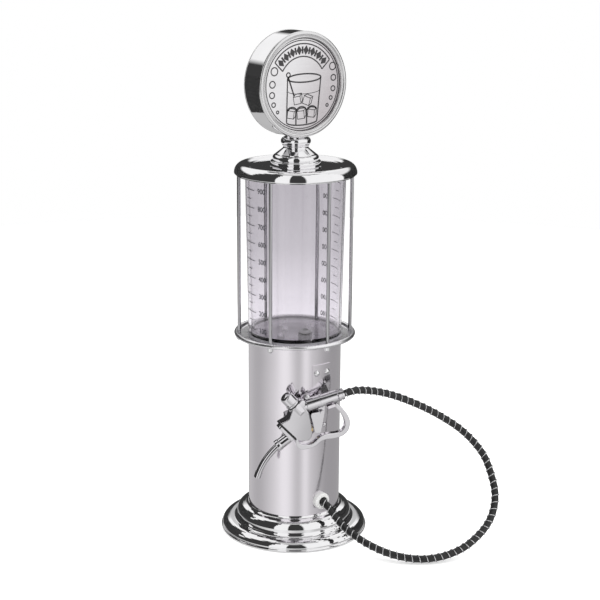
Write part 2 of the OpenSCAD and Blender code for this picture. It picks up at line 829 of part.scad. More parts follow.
// Flared stem with a bead under the sign
module neck_stem() {
    color("gainsboro") difference() {
        rotate_extrude() polygon(concat(
            [[0, 370.4], [19, 370.4]],
            [[18.6, 371.2], [16, 373.2], [13.2, 375.4]],
            arc(13.6, 377.4, 1.9, 1.6, 230, 130, 8),
            [[12.6, 379.2]],
            arc(11, 382.7, 3, 3.4, -70, 75, 12),
            [[9, 388.6], [0, 388.6]]
        ));
        translate([0, 0, 350]) cylinder(r = 2.5 + fit, h = 60);
        in_sign() cylinder(r = drum_r + fit, h = 60, center = true);
        sign_bezel_space();
    }
}

// Room under the bezels, which stand proud of the drum
module sign_bezel_space() {
    for (side = [-1, 1]) translate([0, sign_y + side * 15.5, sign_z]) rotate([90, 0, 0])
        cylinder(r = sign_r + 0.1, h = 8.4, center = true);
}

module neck_stud() {
    color("silver") translate([0, 0, 350]) cylinder(r = 2.5, h = 46);
}

module neck_washer() {
    color("silver") translate([0, 0, 354.2]) tube(8, 2.5 + fit, deck_z - sheet_t - 354.2);
}

module neck_nut() {
    color("silver") translate([0, 0, 350.6]) difference() {
        hex(5, 3.6);
        translate([0, 0, -1]) cylinder(r = 2.5 + fit, h = 6);
    }
}

// Child's z axis points to the front from the middle of the sign
module in_sign() {
    translate([0, sign_y, sign_z]) rotate([90, 0, 0]) children();
}

module sign_drum() {
    color("gainsboro") difference() {
        in_sign() translate([0, 0, -drum_half]) tube(drum_r, drum_in, 2 * drum_half);
        translate([0, 0, 350]) cylinder(r = 2.5 + fit, h = 60);
    }
}

// Curved pad inside the drum that spreads the load of the stud
module sign_saddle() {
    color("silver") difference() {
        intersection() {
            in_sign() translate([0, 0, -7]) tube(drum_in - fit, drum_in - 2, 14);
            translate([-10, -20, 380]) cube([20, 40, 20]);
        }
        translate([0, 0, 350]) cylinder(r = 2.5 + fit, h = 60);
    }
}

module sign_nut() {
    color("silver") translate([0, 0, sign_z - drum_in + 2.3]) difference() {
        hex(5, 3.6);
        translate([0, 0, -1]) cylinder(r = 2.5 + fit, h = 6);
    }
}

// Rounded rim with a step inside it, and a spigot that presses into the drum
module bezel() {
    face = sign_half;
    rotate_extrude() polygon(concat(
        [[drum_in - fit, 8.4], [drum_in - fit, drum_half + fit], [sign_r - 0.2, drum_half + fit]],
        arc(sign_r - 2.3, drum_half + 0.3, 2.3, face - drum_half - 0.3, 0, 110, 12),
        [[44.7, face - 1.3], [44.1, face - 1.5], [43.8, face - 1.1]],
        arc(43.2, face - 1.2, 0.7, 0.7, 40, 170, 6),
        [[42.3, face - 1.8], [42.1, 10.8], [45.2, 10.8], [45.2, 8.4]]
    ));
}

module sign_front_bezel() {
    color("silver") in_sign() bezel();
}

module sign_back_bezel() {
    color("silver") in_sign() mirror([0, 0, 1]) bezel();
}

module sign_front_plate() {
    color("#d8d4d6") in_sign() translate([0, 0, 9.5]) cylinder(r = plate_r, h = 1.2);
}

module sign_back_plate() {
    color("#d8d4d6") in_sign() translate([0, 0, -10.7]) cylinder(r = plate_r, h = 1.2);
}

foot_pad();
base_plate();
base_shell();
tube_ring();
ring_bolts();
body_tube();
tie_rods();
tie_nuts();
collar();
tank_gasket();
gallery_rods();
rod_nuts();
tank();
tank_rim_ring();
upper_ring();
ring_screws();
drain_fitting();
drain_seal();
drain_nut();
drain_strainer();
inner_hose();
hose_clips();
outlet_elbow();
outlet_nut();
outlet_grommet();
holster();
holster_screws();
holster_nuts();
hose();
lid();
lid_spigot();
lid_seal();
neck_foot();
neck_stem();
neck_stud();
neck_washer();
neck_nut();
sign_drum();
sign_saddle();
sign_nut();
sign_front_bezel();
sign_back_bezel();
sign_front_plate();
sign_back_plate();
nozzle_body();
nozzle_cap();
cap_seal();
bleed_screw();
spout_gasket();
spout_flange();
spout();
handle();
hose_swivel();
guard();
trigger();
trigger_pin();
packing_gland();
valve_stem();
valve_seal();
valve_spring();
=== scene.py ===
"""Looks of the gas pump drinks dispenser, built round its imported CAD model. Metres, front is -Y."""
import json
import math

import bmesh
import bpy
from mathutils import Matrix, Vector


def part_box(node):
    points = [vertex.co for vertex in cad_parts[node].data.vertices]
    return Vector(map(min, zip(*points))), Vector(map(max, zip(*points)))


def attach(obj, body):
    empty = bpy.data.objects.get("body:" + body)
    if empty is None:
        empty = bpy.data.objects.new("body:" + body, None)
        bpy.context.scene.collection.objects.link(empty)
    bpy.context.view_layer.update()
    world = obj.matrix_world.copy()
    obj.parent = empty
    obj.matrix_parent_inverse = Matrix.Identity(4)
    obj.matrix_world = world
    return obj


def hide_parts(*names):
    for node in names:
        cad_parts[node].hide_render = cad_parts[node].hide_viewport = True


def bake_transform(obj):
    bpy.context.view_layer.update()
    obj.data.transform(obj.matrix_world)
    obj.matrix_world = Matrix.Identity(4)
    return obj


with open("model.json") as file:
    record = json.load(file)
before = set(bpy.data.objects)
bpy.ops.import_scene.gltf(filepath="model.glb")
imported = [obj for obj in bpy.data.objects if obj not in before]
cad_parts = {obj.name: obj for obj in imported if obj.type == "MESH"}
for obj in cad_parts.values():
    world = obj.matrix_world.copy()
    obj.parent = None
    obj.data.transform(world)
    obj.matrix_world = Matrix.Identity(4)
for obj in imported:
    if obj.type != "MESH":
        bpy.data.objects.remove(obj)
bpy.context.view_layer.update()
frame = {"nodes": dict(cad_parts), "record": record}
nodes = frame["nodes"]
scene = bpy.context.scene
MM = 0.001

# ---------------------------------------------------------------- camera

AZIMUTH, ELEVATION, ROLL = (math.radians(a) for a in (-35, 15, 0.34))
TARGET = Vector((0, 0, 0.22966))
DISTANCE = 1.3873
LENS_MM, SENSOR_MM, SHIFT_X = 87.15, 36, 0.0085
CLIP_NEAR, CLIP_FAR = 0.05, 50
TO_CAMERA = Vector((math.sin(AZIMUTH), -math.cos(AZIMUTH), 0))
CAMERA_RIGHT = Vector((math.cos(AZIMUTH), math.sin(AZIMUTH), 0))


def make_camera():
    """Camera at the photograph's viewpoint, with its slight roll."""
    back = (TO_CAMERA * math.cos(ELEVATION) + Vector((0, 0, math.sin(ELEVATION)))).normalized()
    up = back.cross(CAMERA_RIGHT)
    right = CAMERA_RIGHT * math.cos(ROLL) + up * math.sin(ROLL)
    up = up * math.cos(ROLL) - CAMERA_RIGHT * math.sin(ROLL)
    data = bpy.data.cameras.new("camera")
    data.lens, data.sensor_width, data.shift_x = LENS_MM, SENSOR_MM, SHIFT_X
    data.clip_start, data.clip_end = CLIP_NEAR, CLIP_FAR
    camera = bpy.data.objects.new("camera", data)
    turn = Matrix((right, up, back)).transposed().to_4x4()
    camera.matrix_world = Matrix.Translation(TARGET + back * DISTANCE) @ turn
    scene.collection.objects.link(camera)
    scene.camera = camera


make_camera()

# ---------------------------------------------------------------- mesh helpers


def new_object(name, mesh, material=None):
    obj = bpy.data.objects.new(name, mesh)
    scene.collection.objects.link(obj)
    if material:
        mesh.materials.append(material)
    return obj


def solid(name, points, faces, material):
    """Object from points and faces, with its normals facing outwards."""
    mesh = bpy.data.meshes.new(name)
    mesh.from_pydata([tuple(p) for p in points], [], faces)
    mesh.validate()
    bm = bmesh.new()
    bm.from_mesh(mesh)
    bmesh.ops.recalc_face_normals(bm, faces=bm.faces)
    bm.to_mesh(mesh)
    bm.free()
    return new_object(name, mesh, material)


def join_parts(parts):
    """One list of points and one of faces from several."""
    points, faces = [], []
    for p, f in parts:
        shift = len(points)
        points += p
        faces += [tuple(shift + q for q in face) for face in f]
    return points, faces


def catmull(points, n):
    """Smooth curve through points, with n steps from each one to the next."""
    out = []
    m = len(points) - 1
    for i in range(m):
        a, b, c, d = (points[j] for j in (max(i - 1, 0), i, i + 1, min(i + 2, m)))
        for k in range(n):
            t = k / n
            out.append(0.5 * (2 * b + (c - a) * t + (2 * a - 5 * b + 4 * c - d) * t * t
                              + (3 * b - a - 3 * c + d) * t ** 3))
    return out + [points[m]]


def resample(points, step):
    """Points evenly spaced along a polyline, and the spacing."""
    lengths = [0]
    for a, b in zip(points, points[1:]):
        lengths.append(lengths[-1] + (b - a).length)
    n = max(2, round(lengths[-1] / step))
    out, j = [], 0
    for i in range(n + 1):
        s = lengths[-1] * i / n
        while j < len(points) - 2 and lengths[j + 1] < s:
            j += 1
        span = lengths[j + 1] - lengths[j]
        out.append(points[j].lerp(points[j + 1], (s - lengths[j]) / span))
    return out, lengths[-1] / n


def frames(path, start):
    """Tangent and two normals at each point, carried without twist."""
    out, u = [], Vector(start)
    for i in range(len(path)):
        t = (path[min(i + 1, len(path) - 1)] - path[max(i - 1, 0)]).normalized()
        u = (u - t * u.dot(t)).normalized()
        out.append((t, u, t.cross(u)))
    return out


def tube_mesh(path, radii, sides, rings):
    """Points and faces of a closed tube, with one radius and one frame for each ring."""
    points, faces = [], []
    for p, r, (_, u, v) in zip(path, radii, rings):
        for k in range(sides):
            a = 2 * math.pi * k / sides
            points.append(p + u * (r * math.cos(a)) + v * (r * math.sin(a)))
    for i in range(len(path) - 1):
        for k in range(sides):
            j = (k + 1) % sides
            a, b = i * sides, (i + 1) * sides
            faces.append((a + k, a + j, b + j, b + k))
    faces.append(tuple(range(sides - 1, -1, -1)))
    faces.append(tuple(range((len(path) - 1) * sides, len(path) * sides)))
    return points, faces


# ---------------------------------------------------------------- materials


class Nodes:
    """Short calls for building a material's node tree."""

    def __init__(self, tree):
        self.tree = tree
        tree.nodes.clear()

    def add(self, kind, inputs=None, **settings):
        node = self.tree.nodes.new(kind)
        for key, value in settings.items():
            setattr(node, key, value)
        for key, value in (inputs or {}).items():
            if isinstance(value, bpy.types.NodeSocket):
                self.tree.links.new(value, node.inputs[key])
            else:
                node.inputs[key].default_value = value
        return node

    def math(self, operation, *values):
        return self.add("ShaderNodeMath", dict(enumerate(values)), operation=operation).outputs[0]

    def dot(self, vector, constant):
        return self.add("ShaderNodeVectorMath", {0: vector, 1: constant},
                        operation="DOT_PRODUCT").outputs["Value"]

    def place(self, scale=(1, 1, 1)):
        """Object coordinates, in millimetres times scale."""
        coords = self.add("ShaderNodeTexCoord").outputs["Object"]
        return self.add("ShaderNodeMapping", {"Vector": coords,
                                              "Scale": tuple(s / MM for s in scale)}).outputs[0]

    def noise(self, vector, scale, detail=3, roughness=0.5):
        return self.add("ShaderNodeTexNoise", {"Vector": vector, "Scale": scale, "Detail": detail,
                                               "Roughness": roughness}).outputs["Fac"]

    def spread(self, value, low, high, start=0.3, end=0.7):
        return self.add("ShaderNodeMapRange", {"Value": value, "From Min": start, "From Max": end,
                                               "To Min": low, "To Max": high}).outputs[0]

    def mix(self, factor, a, b):
        node = self.add("ShaderNodeMix", data_type="RGBA")
        for socket, value in ((node.inputs[0], factor), (node.inputs[6], a), (node.inputs[7], b)):
            if isinstance(value, bpy.types.NodeSocket):
                self.tree.links.new(value, socket)
            else:
                socket.default_value = value
        return node.outputs[2]

    def bump(self, height, distance, normal=None):
        inputs = {"Height": height, "Distance": distance, "Strength": 1.0}
        if normal:
            inputs["Normal"] = normal
        return self.add("ShaderNodeBump", inputs).outputs[0]


def rgb(r, g=None, b=None):
    """Opaque colour, grey when only one value is given."""
    return (r, r if g is None else g, r if b is None else b, 1.0)


def surface(name, build, **fixed):
    """A Principled material: build(nodes) gives its linked inputs, fixed the uniform numbers."""
    material = bpy.data.materials.new(name)
    material.use_nodes = True
    n = Nodes(material.node_tree)
    inputs = {key.replace("_", " "): value for key, value in fixed.items()}
    inputs.update(build(n))
    shader = n.add("ShaderNodeBsdfPrincipled", inputs)
    output = n.add("ShaderNodeOutputMaterial")
    n.tree.links.new(shader.outputs[0], output.inputs[0])
    return material


HAIRLINE_DEPTH = 0.01 * MM
BRUSHED_DEPTH = 0.012 * MM
FLOW_DEPTH = 0.03 * MM
SIGN_GRAIN_DEPTH = 0.006 * MM
INK_GRAIN_DEPTH = 0.01 * MM
SMEAR_TONE = 0.955


def polished(name, color, low, high, ripple=0.0, scratch=0.15):
    """Plated or polished metal: faint smears in the gloss, hairlines and a slow ripple."""
    def build(n):
        at = n.place()
        smear = n.noise(at, 0.06, 4, 0.6)
        hair = n.noise(n.place((1, 0.05, 1)), 3.0, 2, 0.7)
        tone = n.mix(n.spread(smear, 0, 1), rgb(*[c * SMEAR_TONE for c in color]), rgb(*color))
        rough = n.math("ADD", n.spread(smear, low, high), n.spread(hair, 0, 0.03, 0.55, 0.75))
        inputs = {"Base Color": tone, "Roughness": rough}
        normal = n.bump(hair, HAIRLINE_DEPTH * scratch)
        if ripple:
            normal = n.bump(n.noise(at, 0.03, 1), MM * ripple, normal=normal)
        inputs["Normal"] = normal
        return inputs
    return surface(name, build, Metallic=1.0)


def brushed(name, color, low, high, stretch, depth=1.0, tone=0.92, grain=0.9):
    """Brushed or drawn metal; stretch makes the grain long where it is small."""
    def build(n):
        at = n.place(stretch)
        lines = n.noise(at, grain, 4, 0.7)
        cloud = n.noise(n.place(), 0.035, 3)
        shade_of = n.mix(n.spread(lines, 0, 1), rgb(*[c * tone for c in color]), rgb(*color))
        rough = n.math("ADD", n.spread(lines, low, high), n.spread(cloud, -0.02, 0.03))
        return {"Base Color": shade_of, "Roughness": rough,
                "Normal": n.bump(lines, BRUSHED_DEPTH * depth)}
    return surface(name, build, Metallic=1.0)


def moulded(name, color, dark, low, high, grain=0.9, depth=0.02, **fixed):
    """Plastic or rubber: fine grain, slow change of tone and gloss."""
    def build(n):
        at = n.place()
        fine = n.noise(at, grain, 3, 0.6)
        slow = n.noise(at, 0.07, 3)
        tone = n.mix(n.spread(slow, 0, 1), rgb(*dark), rgb(*color))
        rough = n.math("ADD", n.spread(slow, low, high), n.spread(fine, 0, 0.06))
        return {"Base Color": tone, "Roughness": rough, "Normal": n.bump(fine, MM * depth)}
    return surface(name, build, **fixed)


def clear_plastic(name):
    """Grey-lilac clear plastic with faint vertical flow lines from moulding."""
    def build(n):
        flow = n.noise(n.place((1, 1, 0.04)), 0.16, 3)
        dust = n.noise(n.place(), 1.3, 2)
        tone = n.mix(n.spread(flow, 0, 1), rgb(0.853, 0.834, 0.862), rgb(0.877, 0.86, 0.886))
        return {"Base Color": tone, "Roughness": n.spread(dust, 0.0, 0.02, 0.5, 0.8),
                "Normal": n.bump(flow, FLOW_DEPTH)}
    return surface(name, build, Transmission_Weight=1.0, IOR=1.47)


def sign_plate(name, light, dark):
    """Plate brushed from side to side, with painted light: lighter at the top left and darker at the
    bottom right.
    """
    def build(n):
        lines = n.noise(n.place((0.05, 1, 1)), 0.9, 4, 0.7)
        coords = n.add("ShaderNodeTexCoord").outputs["Object"]
        # Painted light: a ramp from light at the top left to dark at the bottom right, mixed with the
        # grain
        across = n.spread(n.dot(coords, (1.0, 0.0, -0.45)), 0, 1, -0.215, -0.16)
        painted_light_and_grain = n.math("ADD", across, n.spread(lines, -0.04, 0.04))
        return {"Base Color": n.mix(painted_light_and_grain, rgb(*light), rgb(*dark)),
                "Roughness": n.spread(lines, 0.30, 0.40), "Normal": n.bump(lines, SIGN_GRAIN_DEPTH)}
    return surface(name, build, Metallic=1.0)


def printed(name, color):
    """Screen-printed ink with slightly uneven cover."""
    def build(n):
        cover = n.noise(n.place(), 2.2, 3, 0.7)
        tone = n.mix(n.spread(cover, 0, 1), rgb(*color), rgb(*[c * 1.5 + 0.01 for c in color]))
        return {"Base Color": tone, "Roughness": n.spread(cover, 0.35, 0.6),
                "Normal": n.bump(cover, INK_GRAIN_DEPTH)}
    return surface(name, build)


MATERIALS = {
    "pad_rubber": moulded("pad_rubber", (0.028,) * 3, (0.018,) * 3, 0.62, 0.85, 0.8, 0.05),
    "base_chrome": polished("base_chrome", (0.90, 0.895, 0.905), 0.02, 0.05, 0.02),
    "zinc_steel": brushed("zinc_steel", (0.62, 0.63, 0.65), 0.25, 0.42, (1, 1, 1), 1.5),
    "tube_steel": brushed("tube_steel", (0.875, 0.838, 0.882), 0.10, 0.13, (1, 1, 0.03), 0.15, 0.985),
    "chrome": polished("chrome", (0.90, 0.895, 0.905), 0.02, 0.05, 0.0),
    "black_rubber": moulded("black_rubber", (0.022,) * 3, (0.014,) * 3, 0.5, 0.75, 1.2, 0.03),
    "rod_chrome": polished("rod_chrome", (0.52, 0.515, 0.53), 0.02, 0.05, 0.0),
    "dull_chrome": polished("dull_chrome", (0.92, 0.91, 0.93), 0.24, 0.32, 0.0),
    "clear_seal": moulded("clear_seal", (0.50, 0.49, 0.52), (0.42, 0.41, 0.44), 0.25, 0.4, 1.2, 0.02),
    "clear_tank": clear_plastic("clear_tank"),
    "white_plastic": moulded("white_plastic", (0.86, 0.86, 0.85), (0.80, 0.80, 0.79), 0.25, 0.38,
                             1.1, 0.006),
    "screen_steel": brushed("screen_steel", (0.35, 0.35, 0.36), 0.3, 0.5, (1, 1, 1), 1.0),
    "milky_hose": moulded("milky_hose", (0.80, 0.80, 0.76), (0.70, 0.70, 0.66), 0.3, 0.45, 0.8,
                          0.01, Subsurface_Weight=0.3, Subsurface_Scale=0.004),
    "satin_steel": brushed("satin_steel", (0.80, 0.795, 0.80), 0.16, 0.26, (1, 1, 1), 0.6, 0.95),
    "hose_black": moulded("hose_black", (0.016, 0.016, 0.017), (0.010,) * 3, 0.30, 0.48, 1.5, 0.03),
    "hose_wire": polished("hose_wire", (0.86, 0.86, 0.87), 0.10, 0.22),
    # The sign face's light and dark tones are painted light, spread across the plate
    "sign_face": sign_plate("sign_face", (0.93, 0.92, 0.935), (0.66, 0.62, 0.64)),
    "nozzle_chrome": polished("nozzle_chrome", (0.75, 0.735, 0.76), 0.05, 0.10, 0.03, 0.4),
    "brass": brushed("brass", (0.72, 0.54, 0.26), 0.2, 0.35, (1, 1, 1), 0.8),
    "spring_steel": polished("spring_steel", (0.55, 0.55, 0.57), 0.2, 0.35),
    "scale_ink": printed("scale_ink", (0.045, 0.045, 0.055)),
    "engraving": printed("engraving", (0.028, 0.026, 0.028)),
}

# ---------------------------------------------------------------- free hose

# The CAD's own route, in mm. A scratch script traced the hose's line in the photograph in 3-D, and
# its points were then rounded and adjusted by hand
HOSE_ROUTE = [Vector(p) * MM for p in (
    (0, -45.5, 40), (0, -51, 39.5), (1, -58, 36), (3, -66, 29), (5, -77, 22.5), (8, -90, 17.5),
    (12, -103, 13.5), (19, -117, 9.5), (28, -129, 6.5), (40, -140, 4.6), (54, -148.5, 4.6),
    (70, -154, 6.5), (87, -157, 11), (103, -157, 18), (117, -155, 26.5), (128, -150.5, 37),
    (136, -143, 49.5), (139.5, -133, 64), (139.5, -122.5, 79), (134.5, -112, 92),
    (125.5, -102, 104), (114, -93, 114), (99.5, -84.5, 124), (82.5, -77, 133.5), (64, -71, 142),
    (46, -67, 148), (28.5, -65.5, 151.8), (20.6, -64.7, 152), (13.3, -62.85, 150.8))]
HOSE_RADIUS = 0.00415
HOSE_SIDES = 28
HOSE_STEP = 0.0011
ROUTE_STEPS = 20
WIRE_RADIUS = 0.00046
WIRE_PITCH = 0.0069
WIRE_STEPS = 22
WIRE_SIDES = 6
GROOVE_RADIUS = HOSE_RADIUS - 2.1 * WIRE_RADIUS
BULGE = 0.00022


def wire_mesh(path, step, rings):
    """Points and faces of the wire wound round the hose, WIRE_STEPS points to a turn."""
    count = int((len(path) - 1) * step / WIRE_PITCH * WIRE_STEPS)
    centres, outward = [], []
    for k in range(count + 1):
        s = k * WIRE_PITCH / WIRE_STEPS
        i = min(int(s / step), len(path) - 2)
        _, u, v = rings[i]
        a = 2 * math.pi * k / WIRE_STEPS
        out = u * math.cos(a) + v * math.sin(a)
        outward.append(out)
        centres.append(path[i].lerp(path[i + 1], s / step - i) + out * (HOSE_RADIUS - WIRE_RADIUS))
    wire_rings = []
    for i, out in enumerate(outward):
        t = (centres[min(i + 1, count)] - centres[max(i - 1, 0)]).normalized()
        u = (out - t * out.dot(t)).normalized()
        wire_rings.append((t, u, t.cross(u)))
    return tube_mesh(centres, [WIRE_RADIUS] * len(centres), WIRE_SIDES, wire_rings)


def make_hose():
    """Hose and its wire as one piece, bent between the pump and the nozzle."""
    path, step = resample(catmull(HOSE_ROUTE, ROUTE_STEPS), HOSE_STEP)
    rings = frames(path, (0, 0, 1))
    radii = []
    for i in range(len(path)):
        turn = i * step / WIRE_PITCH
        radii.append(GROOVE_RADIUS + BULGE * abs(math.sin(math.pi * turn)))
    rubber = tube_mesh(path, radii, HOSE_SIDES, rings)
    rubber_points = len(rubber[0])
    points, faces = join_parts([rubber, wire_mesh(path, step, rings)])
    hose = solid("hose_wrapped", points, faces, MATERIALS["hose_black"])
    hose.data.materials.append(MATERIALS["hose_wire"])
    for polygon in hose.data.polygons:
        polygon.use_smooth = True
        polygon.material_index = 1 if polygon.vertices[0] >= rubber_points else 0
    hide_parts("hose")
    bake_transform(hose)


make_hose()

# ---------------------------------------------------------------- finishes of the CAD nodes

# Nodes whose look in the photograph differs from their slot's
FINISHES = {"gallery_rods": "rod_chrome", "collar": "dull_chrome", "tank_gasket": "clear_seal"}
SLOTS = {part["node"]: part["material_slot"] for part in frame["record"]["subparts"]}
for name, obj in nodes.items():
    obj.data.materials.clear()
    obj.data.materials.append(MATERIALS[FINISHES.get(name, SLOTS[name])])

# ---------------------------------------------------------------- cast nozzle pieces

NOZZLE_TURN = math.radians(20)
ALONG = Vector((math.cos(NOZZLE_TURN), -math.sin(NOZZLE_TURN), 0))
ACROSS = Vector((math.sin(NOZZLE_TURN), math.cos(NOZZLE_TURN), 0))
NOZZLE_MIDDLE = Vector((0, -0.058, 0))
COARSE_VOXEL, FINE_VOXEL = 0.00035, 0.0003
SMOOTHING = 0.5
BODY_MIDDLE = (-0.040, 0.134)
BODY_CROWN = 0.22
CROWN_RADIUS = 0.022

# The CAD's guard stops short of the body; this is its front leg, in mm along the nozzle and up
GUARD_LEG = [
    (-26.5, 99.3), (-28.5, 99.3), (-30.6, 100.4), (-32.7, 103.0), (-33.7, 106.8), (-33.2, 110.8),
    (-30.4, 109.6), (-30.3, 107.4), (-29.4, 105.8), (-27.4, 104.6), (-26.5, 104.4)]
GUARD_HALF_WIDTH = 3.0


def add_prism(mesh, outline, half_width):
    """Join a prism to mesh: its outline in mm along the nozzle and up, its width across."""
    bm = bmesh.new()
    bm.from_mesh(mesh)
    rings = []
    for side in (-half_width, half_width):
        ring = []
        for u, z in outline:
            point = NOZZLE_MIDDLE + ALONG * (u * MM) + ACROSS * (side * MM)
            ring.append(bm.verts.new(point + Vector((0, 0, z * MM))))
        rings.append(ring)
    near, far = rings
    faces = [bm.faces.new(near), bm.faces.new(far)]
    for i in range(len(outline)):
        j = (i + 1) % len(outline)
        faces.append(bm.faces.new((near[i], near[j], far[j], far[i])))
    bmesh.ops.recalc_face_normals(bm, faces=faces)
    bm.to_mesh(mesh)
    bm.free()


def cast(name, body, voxel, rounds, middle=None, crown=0.0, leg=None):
    """Copy of a CAD node as a casting: corners rounded, and its sides crowned about middle."""
    copy = new_object(name + "_cast", nodes[name].data.copy())
    copy.matrix_world = nodes[name].matrix_world.copy()
    if leg:
        add_prism(copy.data, leg, GUARD_HALF_WIDTH)
    remesh = copy.modifiers.new("remesh", "REMESH")
    remesh.mode, remesh.voxel_size = "VOXEL", voxel
    smooth = copy.modifiers.new("smooth", "SMOOTH")
    smooth.factor, smooth.iterations = SMOOTHING, rounds
    bpy.context.view_layer.update()
    rounded = copy.evaluated_get(bpy.context.evaluated_depsgraph_get())
    mesh = bpy.data.meshes.new_from_object(rounded)
    copy.modifiers.clear()
    copy.data = mesh
    if crown:
        for vertex in mesh.vertices:
            at = vertex.co - NOZZLE_MIDDLE
            side = at.dot(ACROSS)
            d = Vector((at.dot(ALONG) - middle[0], at.z - middle[1])).length
            vertex.co -= ACROSS * side * crown * (d / CROWN_RADIUS) ** 2
    for polygon in mesh.polygons:
        polygon.use_smooth = True
    mesh.materials.clear()
    mesh.materials.append(MATERIALS["nozzle_chrome"])
    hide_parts(name)
    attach(copy, body)


cast("nozzle_body", "nozzle", COARSE_VOXEL, 10, BODY_MIDDLE, BODY_CROWN)
cast("spout_flange", "nozzle", FINE_VOXEL, 5)
cast("guard", "nozzle", COARSE_VOXEL, 10, leg=GUARD_LEG)
cast("trigger", "trigger", FINE_VOXEL, 5)
cast("nozzle_cap", "nozzle", FINE_VOXEL, 4)

# ---------------------------------------------------------------- tank scale

TANK_LOW, TANK_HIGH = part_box("tank")
TANK_FOOT_R, TANK_MOUTH_R = 0.0446, 0.0472
INK = 0.00006
INK_GAP = 0.00001
TICK_STEPS = 6
TICK_HEIGHT = 0.0007
LONG_TICK, SHORT_TICK = (-112, -89), (-106, -95.5)
FIRST_TICK, LAST_TICK = 2, 18
SCALE_FOOT, TICK_PITCH = 0.1909, 0.01664 / 2
TICK_VALUE = 50
NUMBER_ANGLE, NUMBER_HEIGHT, NUMBER_STRETCH, NUMBER_BOLD = -77, 0.0068, 0.92, 0.00014


def tank_point(angle, z, out):
    """Point on the tank's outside; angle in degrees from the front, towards +X."""
    share = (z - TANK_LOW.z) / (TANK_HIGH.z - TANK_LOW.z)
    r = TANK_FOOT_R + (TANK_MOUTH_R - TANK_FOOT_R) * share + out
    a = math.radians(angle)
    return Vector((r * math.sin(a), -r * math.cos(a), z))


def tick(z, a0, a1):
    """Points and faces of a thin printed bar on the tank."""
    n = TICK_STEPS
    points, faces = [], []
    for i in range(n + 1):
        a = a0 + (a1 - a0) * i / n
        for dz, out in ((-1, 0), (1, 0), (1, INK), (-1, INK)):
            points.append(tank_point(a, z + dz * TICK_HEIGHT / 2, INK_GAP + out))
    for i in range(n):
        for k in range(4):
            j = (k + 1) % 4
            faces.append((4 * i + k, 4 * i + j, 4 * i + 4 + j, 4 * i + 4 + k))
    faces += [(0, 1, 2, 3), tuple(4 * n + k for k in (3, 2, 1, 0))]
    return points, faces


def lettering(body, size, depth):
    """Mesh data of a number in the plain built-in font, centred on its own origin."""
    curve = bpy.data.curves.new("number", "FONT")
    curve.body, curve.size, curve.extrude = body, size, depth / 2
    curve.align_x, curve.align_y = "CENTER", "CENTER"
    curve.resolution_u = 3
    curve.offset = NUMBER_BOLD
    holder = bpy.data.objects.new("number", curve)
    scene.collection.objects.link(holder)
    bpy.context.view_layer.update()
    mesh = holder.to_mesh()
    points = [v.co.copy() for v in mesh.vertices]
    faces = [tuple(p.vertices) for p in mesh.polygons]
    holder.to_mesh_clear()
    bpy.data.objects.remove(holder)
    bpy.data.curves.remove(curve)
    return points, faces


def make_scale(name, turn):
    """One printed scale on the tank, turned by turn degrees about the tank's axis."""
    parts = []
    middle_r = (TANK_FOOT_R + TANK_MOUTH_R) / 2
    for k in range(FIRST_TICK, LAST_TICK + 1):
        z = SCALE_FOOT + TICK_PITCH * k
        numbered = k % 2 == 0
        a0, a1 = LONG_TICK if numbered else SHORT_TICK
        parts.append(tick(z, a0 + turn, a1 + turn))
        if numbered:
            points, faces = lettering(str(k * TICK_VALUE), NUMBER_HEIGHT, INK)
            bent = []
            for p in points:
                angle = NUMBER_ANGLE + turn + math.degrees(p.x * NUMBER_STRETCH / middle_r)
                bent.append(tank_point(angle, z + p.y, INK_GAP + INK / 2 + p.z))
            parts.append((bent, faces))
    points, faces = join_parts(parts)
    scale = solid(name, points, faces, MATERIALS["scale_ink"])
    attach(scale, "pump")


make_scale("tank_scale_left", 0)
make_scale("tank_scale_right", 180)

# ---------------------------------------------------------------- engraved sign faces

# Middle of the sign, and how far the faces of its plates are from it
SIGN_Z, SIGN_Y, PLATE = 0.4355, 0.0008, 0.0107
ART_SINK = 0.00002

# The art is drawn in mm about the middle of the face
LINE = 0.08


def stroke(points, width, closed=False):
    """Points and faces of a flat line of that width through 2-D points, LINE thick."""
    n = len(points)
    out, faces = [], []
    for i in range(n):
        a = points[(i - 1) % n] if closed or i else points[0]
        b = points[(i + 1) % n] if closed or i < n - 1 else points[-1]
        d = Vector((b[0] - a[0], b[1] - a[1])).normalized()
        side = Vector((-d.y, d.x)) * (width / 2)
        p = Vector(points[i])
        for q, h in ((p + side, 0), (p - side, 0), (p - side, LINE), (p + side, LINE)):
            out.append(Vector((q.x, q.y, h)))
    spans = n if closed else n - 1
    for i in range(spans):
        j = (i + 1) % n
        for k in range(4):
            m = (k + 1) % 4
            faces.append((4 * i + k, 4 * i + m, 4 * j + m, 4 * j + k))
    if not closed:
        faces += [(3, 2, 1, 0), tuple(4 * (n - 1) + k for k in (0, 1, 2, 3))]
    return out, faces


def arc2(cx, cy, rx, ry, a0, a1, n):
    """Points along an ellipse from angle a0 to a1, in degrees."""
    return [(cx + rx * math.cos(math.radians(a0 + (a1 - a0) * i / n)),
             cy + ry * math.sin(math.radians(a0 + (a1 - a0) * i / n))) for i in range(n + 1)]


def ring2(cx, cy, rx, ry, width, n):
    """Closed line round an ellipse, in n pieces."""
    return stroke(arc2(cx, cy, rx, ry, 0, 360 - 360 / n, n - 1), width, True)


def fill(points):
    """Points and faces of a flat filled shape, LINE thick."""
    n = len(points)
    out = [Vector((x, y, h)) for h in (0, LINE) for x, y in points]
    faces = [tuple(range(n - 1, -1, -1)), tuple(range(n, 2 * n))]
    faces += [(i, (i + 1) % n, n + (i + 1) % n, n + i) for i in range(n)]
    return out, faces


